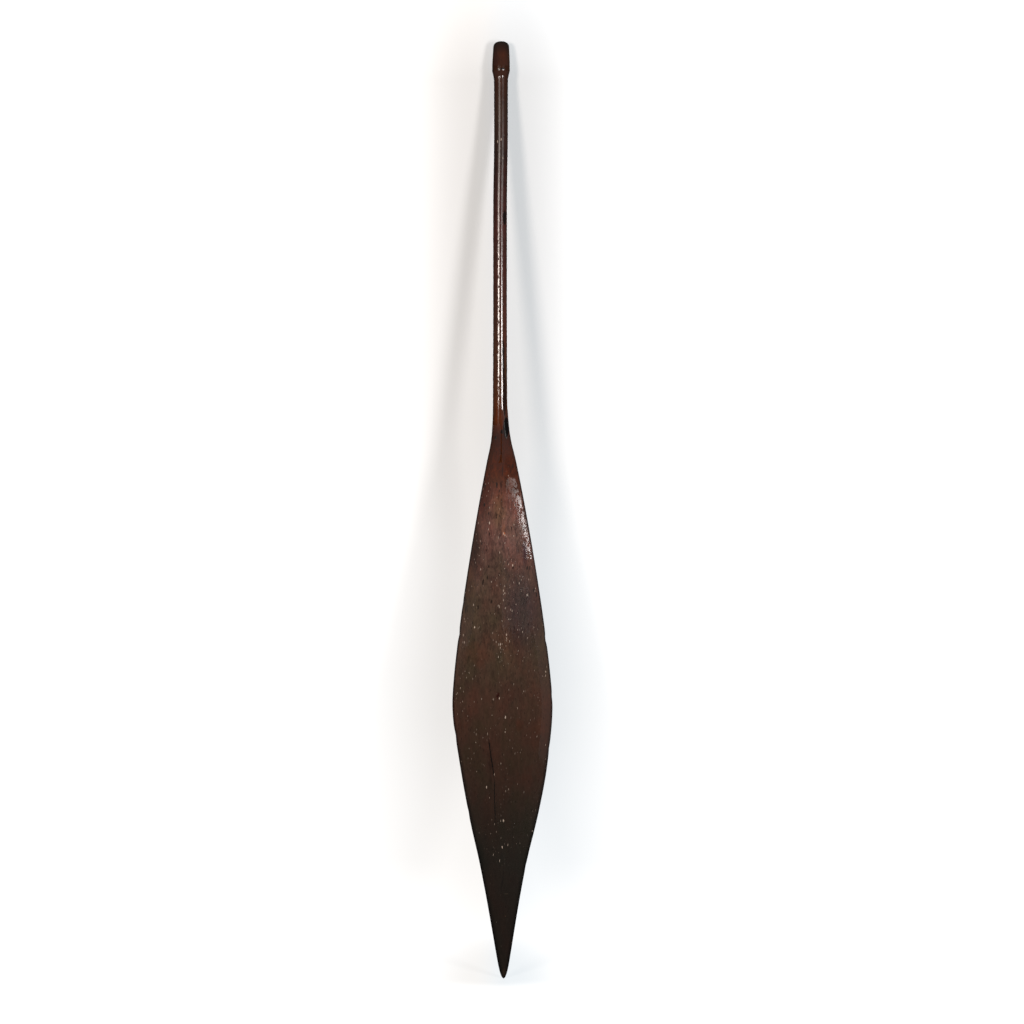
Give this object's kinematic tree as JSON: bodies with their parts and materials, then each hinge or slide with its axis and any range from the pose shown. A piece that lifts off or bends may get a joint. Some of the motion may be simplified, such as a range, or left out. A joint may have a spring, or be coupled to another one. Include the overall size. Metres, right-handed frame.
{
  "type": "canoe paddle",
  "caption": "Hand-carved hardwood canoe paddle with a long leaf-shaped blade tapering to a point, an oval shaft and a small domed knob at the butt.",
  "frame": {"origin": "On the shaft's axis at the neck, the narrow place just under the knob, where the paddle hangs on a loop or a forked peg", "axes": "+Z along the shaft from the blade tip to the butt, +X across the blade to the right as seen from the front, -Y out of the blade's front face"},
  "size_m": [0.1712, 0.031, 1.6],
  "materials": {
    "oiled_hardwood": "dark reddish-brown hardwood, hand-worked, oiled and rubbed to a satin gloss, glossier on the shaft"
  },
  "bodies": {
    "root": {"paddle": "oiled_hardwood"}
  },
  "joints": []
}
